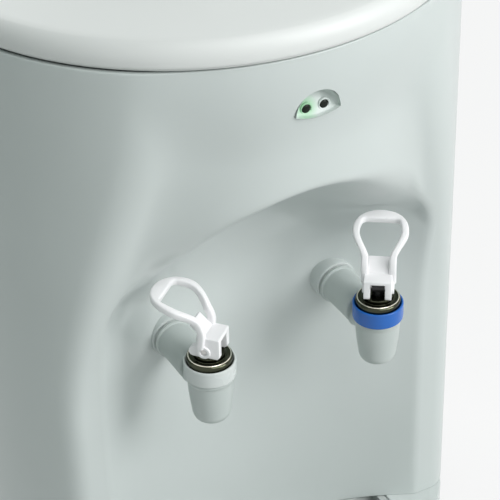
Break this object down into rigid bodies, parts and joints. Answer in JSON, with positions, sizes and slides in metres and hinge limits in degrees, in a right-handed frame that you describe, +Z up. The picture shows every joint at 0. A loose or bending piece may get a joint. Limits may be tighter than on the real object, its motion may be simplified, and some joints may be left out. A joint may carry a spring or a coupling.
{
  "type": "countertop water dispenser",
  "caption": "Countertop bottled-water dispenser: round body with a hooded faucet niche, turning lever faucets, drip tray, bottle collar and a fan-cooled reservoir inside.",
  "frame": {"origin": "centre of the base on the worktop", "axes": "+Z up, -Y towards the user, +X to the user's right"},
  "size_m": [0.286, 0.337, 0.432],
  "materials": {
    "aluminium": "extruded aluminium",
    "black": "black moulded plastic",
    "blue": "blue moulded ring",
    "board": "green circuit board",
    "ceramic": "white ceramic",
    "chrome": "bright plated",
    "cover": "bright white ABS",
    "faucet": "white polypropylene",
    "foam": "expanded foam",
    "green_lens": "green lamp lens",
    "lever": "white acetal",
    "rubber": "black rubber",
    "shell": "satin white ABS",
    "silicone": "translucent silicone",
    "steel": "stainless steel",
    "tray": "pale moulded plastic"
  },
  "bodies": {
    "housing": {"baffle": "faucet", "base_pan": "shell", "bottle_collar": "cover", "bottle_probe": "faucet", "cold_block": "aluminium", "drain_fitting": "faucet", "drain_hose": "silicone", "fan_frame": "black", "foot_front_left": "rubber", "foot_front_right": "rubber", "foot_rear_left": "rubber", "foot_rear_right": "rubber", "front_panel": "shell", "heat_sink": "aluminium", "indicator_bezel": "cover", "insulation_left": "foam", "insulation_right": "foam", "led_cold": "black", "led_cool": "green_lens", "left_bonnet": "chrome", "left_collar": "faucet", "left_faucet_body": "faucet", "left_locknut": "faucet", "left_supply_hose": "silicone", "left_wall_gasket": "silicone", "power_board": "board", "power_inlet": "black", "rear_housing": "shell", "rear_vent_cover": "shell", "reservoir": "steel", "reservoir_gasket": "silicone", "reservoir_lid": "faucet", "right_bonnet": "chrome", "right_collar": "blue", "right_faucet_body": "faucet", "right_locknut": "faucet", "right_supply_hose": "silicone", "right_wall_gasket": "silicone", "service_panel": "black", "switch_frame": "black", "tank_stand": "faucet", "thermoelectric_module": "ceramic", "top_cover": "cover"},
    "fan_rotor": {"fan_impeller": "black"},
    "drip_tray": {"drip_tray": "tray"},
    "drip_grille": {"drip_grille": "tray"},
    "switch_rocker": {"switch_rocker": "black"},
    "drain_cap": {"drain_cap": "faucet"},
    "left_turntable": {"left_turning_disc": "chrome", "left_spring": "steel"},
    "left_plunger": {"left_plunger": "faucet", "left_seal": "silicone", "left_hinge_pin": "steel"},
    "left_lever": {"left_lever": "lever"},
    "right_turntable": {"right_turning_disc": "chrome", "right_spring": "steel"},
    "right_plunger": {"right_plunger": "faucet", "right_seal": "silicone", "right_hinge_pin": "steel"},
    "right_lever": {"right_lever": "lever"}
  },
  "joints": [
    {"name": "left_swivel", "type": "hinge", "parent": "housing", "child": "left_turntable", "pos_m": [-0.05, -0.114, 0.2085], "axis": [0, 0, 1], "continuous": true},
    {"name": "left_lift", "type": "slide", "parent": "left_turntable", "child": "left_plunger", "axis": [0, 0, 1], "range_m": [0, 0.00259], "deforming": ["left_spring"]},
    {"name": "left_press", "type": "hinge", "parent": "left_plunger", "child": "left_lever", "pos_m": [-0.05, -0.114, 0.2177], "axis": [-0.7431, -0.6691, 0], "range_deg": [0, 28], "stiffness_Nm_per_rad": 0.08, "springref_deg": -22.92},
    {"name": "right_swivel", "type": "hinge", "parent": "housing", "child": "right_turntable", "pos_m": [0.05, -0.114, 0.2085], "axis": [0, 0, 1], "continuous": true},
    {"name": "right_lift", "type": "slide", "parent": "right_turntable", "child": "right_plunger", "axis": [0, 0, 1], "range_m": [0, 0.00259], "deforming": ["right_spring"]},
    {"name": "right_press", "type": "hinge", "parent": "right_plunger", "child": "right_lever", "pos_m": [0.05, -0.114, 0.2177], "axis": [-0.8192, 0.5736, 0], "range_deg": [0, 28], "stiffness_Nm_per_rad": 0.08, "springref_deg": -22.92},
    {"name": "fan_spin", "type": "hinge", "parent": "housing", "child": "fan_rotor", "pos_m": [0, 0.1377, 0.27], "axis": [0, 1, 0], "continuous": true},
    {"name": "tray_slide", "type": "slide", "parent": "housing", "child": "drip_tray", "axis": [0, -1, 0], "range_m": [0, 0.11]},
    {"name": "grille_lift", "type": "slide", "parent": "drip_tray", "child": "drip_grille", "axis": [0, 0, 1], "range_m": [0, 0.05]},
    {"name": "switch_rock", "type": "hinge", "parent": "housing", "child": "switch_rocker", "pos_m": [0.024, 0.12867, 0.07], "axis": [1, 0, 0], "range_deg": [-24, 0]},
    {"name": "cap_pull", "type": "slide", "parent": "housing", "child": "drain_cap", "axis": [0, 1, 0], "range_m": [0, 0.03]}
  ],
  "couplings": [
    {"joint": "left_lift", "follows": "left_press", "m_per_rad": 0.0052},
    {"joint": "right_lift", "follows": "right_press", "m_per_rad": 0.0052}
  ]
}
